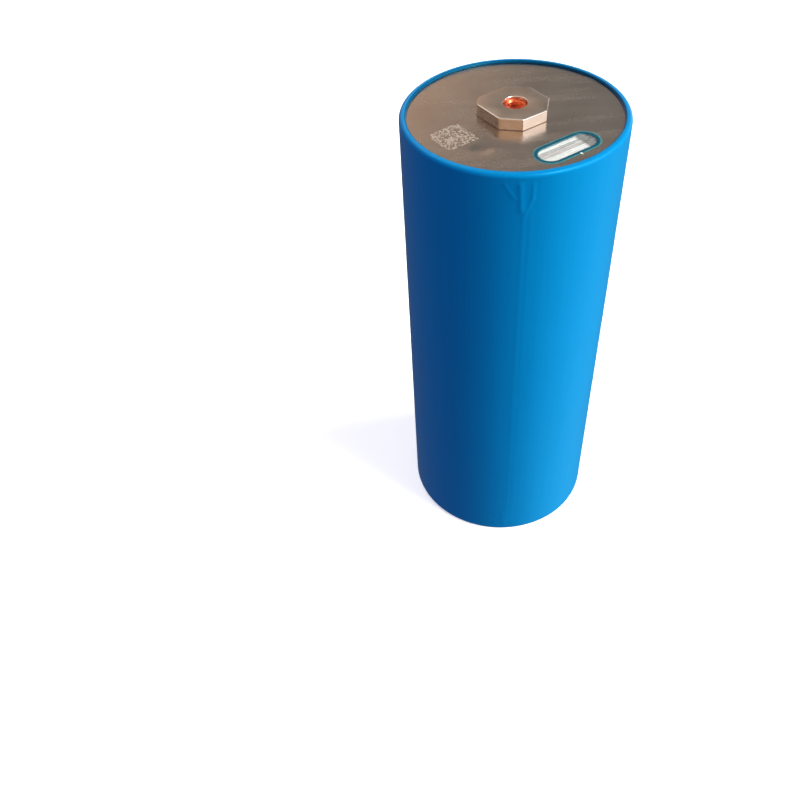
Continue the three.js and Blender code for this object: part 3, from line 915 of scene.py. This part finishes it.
# ---- Stage, lights and camera ----
def make_stage():
    """A pale floor, clear from below, and a pale dome. Only the camera sees them."""
    paper, tree, shader = material("stage_paper", Roughness=0.9, Emission_Color=(1.0, 1.0, 1.0))
    shader.inputs["Emission Strength"].default_value = STAGE["glow"]
    grain = noise_of(tree, 300, 2)
    drive(tree, shader, Base_Color=blended(tree, grain, (0.76, 0.77, 0.79), (0.79, 0.8, 0.82)))
    clear = add(tree, "BsdfTransparent").outputs[0]
    behind = add(tree, "NewGeometry").outputs["Backfacing"]
    seen = add(tree, "MixShader", {0: behind, 1: shader.outputs[0], 2: clear}).outputs[0]
    tree.links.new(seen, tree.nodes["Material Output"].inputs["Surface"])
    flat, bend = STAGE["flat"], STAGE["bend"]
    reach = flat + bend
    wall = [*arc((flat, bend), bend, -90, 0, 12), *arc((0, bend), reach, 0, 89.5, 24)[1:]]
    for name, profile in (("floor", [(0.01, 0), (0.5, 0), (flat, 0)]), ("backdrop", wall)):
        bm = bmesh.new()
        loops = [[bm.verts.new((x, y, z)) for x, y in circle(r, 96)] for r, z in profile]
        for a, b in zip(loops, loops[1:]):
            bridge(bm, a, b)
        if name == "floor":
            bm.faces.new(loops[0])
        bmesh.ops.recalc_face_normals(bm, faces=bm.faces)
        bm.faces.ensure_lookup_table()
        if bm.faces[0].normal.z < 0:
            bmesh.ops.reverse_faces(bm, faces=bm.faces)
        mesh = bpy.data.meshes.new(name)
        bm.to_mesh(mesh)
        bm.free()
        mesh.shade_smooth()
        mesh.materials.append(paper)
        stage = bpy.data.objects.new(name, mesh)
        bpy.context.scene.collection.objects.link(stage)
        stage.visible_diffuse = stage.visible_glossy = stage.visible_transmission = False
        stage.visible_shadow = False


def towards(azimuth, elevation):
    """A unit vector from the cell in a direction in degrees."""
    a, e = math.radians(azimuth), math.radians(elevation)
    return Vector((math.cos(a) * math.cos(e), math.sin(a) * math.cos(e), math.sin(e)))


def make_room():
    """A warm grey room with brighter walls behind the cell and behind the camera."""
    world = bpy.data.worlds.new("room")
    bpy.context.scene.world = world
    world.use_nodes = True
    tree = world.node_tree
    background = tree.nodes["Background"]
    direction = add(tree, "TexCoord").outputs["Generated"]
    walls = [  # azimuth, elevation, inner and outer reach in degrees, and colour
        (102, 15, 8, 25, (0.72, 0.45, 0.285)),
        (60, 30, 10, 50, (0.08, 0.11, 0.12)),
        (60, -3, 8, 22, (1.5, 1.5, 1.5)),
        (-110, 25, 10, 60, (0.6, 0.41, 0.26)),
        (-25, 28, 14, 34, (1.58, 1.6, 1.6)),
        (124, 54, 6, 20, (3.6, 3.3, 3.0)),
        (165, 28, 8, 40, (0.1, 0.07, 0.05)),
        (0, 90, 12, 40, (0.7, 0.68, 0.65)),
        (-20, -28, 10, 50, (0.2, 0.55, 0.7)),
    ]
    total = (0.122, 0.088, 0.068, 1)
    for azimuth, elevation, inner, outer, colour in walls:
        axis = towards(azimuth, elevation)
        facing = add(tree, "VectorMath", {0: direction, 1: axis}, operation="DOT_PRODUCT")
        edges = math.cos(math.radians(outer)), math.cos(math.radians(inner))
        weight = spread(tree, facing.outputs["Value"], *edges, 0, 1)
        total = add(
            tree, "Mix", {0: weight, 6: total, 7: (*colour, 1)}, data_type="RGBA", blend_type="ADD"
        ).outputs[2]
    tree.links.new(total, background.inputs["Color"])
    background.inputs["Strength"].default_value = 1.0


def aim(place, target):
    """The turn that makes a light at a place shine at a target."""
    return (Vector(target) - Vector(place)).to_track_quat("-Z", "Y")


def add_light(name, kind, azimuth, elevation, distance, glossy, **settings):
    """A light aimed at the cell's middle. A glossy one only gives highlights, others none."""
    middle = Vector((0, 0, 0.1))
    data = bpy.data.lights.new(name, kind)
    for key, value in settings.items():
        setattr(data, key, value)
    light = bpy.data.objects.new(name, data)
    light.location = middle + towards(azimuth, elevation) * distance
    light.rotation_mode = "QUATERNION"
    light.rotation_quaternion = aim(light.location, middle)
    light.visible_camera = False
    light.visible_glossy = glossy
    light.visible_diffuse = not glossy
    bpy.context.scene.collection.objects.link(light)


def add_sun(name, azimuth, elevation, energy, angle, colour):
    """Soft sunlight from a direction, whose disc is angle degrees wide."""
    sun = {"energy": energy, "angle": math.radians(angle), "color": colour}
    add_light(name, "SUN", azimuth, elevation, 1.5, False, **sun)


def make_camera():
    """The camera the picture is taken with."""
    pitch, roll = CAMERA_PITCH, CAMERA_ROLL
    right = Vector((1, 0, 0))
    forward = Vector((0, math.cos(pitch), -math.sin(pitch)))
    down = Vector((0, -math.sin(pitch), -math.cos(pitch)))
    across = math.cos(roll) * right + math.sin(roll) * down
    under = -math.sin(roll) * right + math.cos(roll) * down
    turn = Matrix((across, -under, -forward)).transposed()
    data = bpy.data.cameras.new("camera")
    data.lens, data.sensor_width = CAMERA_LENS, SENSOR_WIDTH
    data.clip_start, data.clip_end = 0.01, 50
    camera = bpy.data.objects.new("camera", data)
    camera.matrix_world = Matrix.Translation(Vector(CAMERA_PLACE) * MM) @ turn.to_4x4()
    bpy.context.scene.collection.objects.link(camera)
    bpy.context.scene.camera = camera


make_camera()
make_stage()
make_room()
add_sun("window", -18, 27, 8.4, 50, (0.96, 1.0, 0.84))
add_sun("sky", -132, 20, 1.1, 80, (0.08, 0.25, 1.0))
add_sun("fill", 130, 25, 1.0, 80, (0.5, 0.85, 1.0))
strip = {"energy": 15.0, "shape": "RECTANGLE", "size": 0.3, "size_y": 0.13}
add_light("strip", "AREA", -45, 50, 1.1, True, **strip)
bpy.context.scene.view_settings.view_transform = "Standard"

cover = cover_metal("cover_metal")
block = block_metal()
vent_film, vent_foil = clear_film(), foil()
vent_seals = [
    seal_plastic("seal_bead", (0.0, 0.045, 0.075), (0.0, 0.06, 0.095)),
    seal_plastic("seal_skirt", (0.03, 0.12, 0.15), (0.045, 0.16, 0.19)),
    seal_plastic("seal_burr", (0.5, 0.5, 0.46), (0.6, 0.6, 0.55)),
]
base_seals = [seal_plastic("base_seal_bead", (0.08, 0.36, 0.5), (0.12, 0.44, 0.58)), vent_seals[1]]
slate = sheet_plastic("slate_sheet", (0.018, 0.043, 0.055), (0.026, 0.056, 0.07), 0.42)
make_sleeve()
make_top_cover(cover_metal("coded_cover_metal", code=True))
make_base(cover, slate)
make_vent("top", 1, vent_foil, vent_seals, vent_film)
make_vent("base", -1, vent_foil, base_seals, vent_film)
make_block(block)
make_post(copper())
finish_inner_nodes()
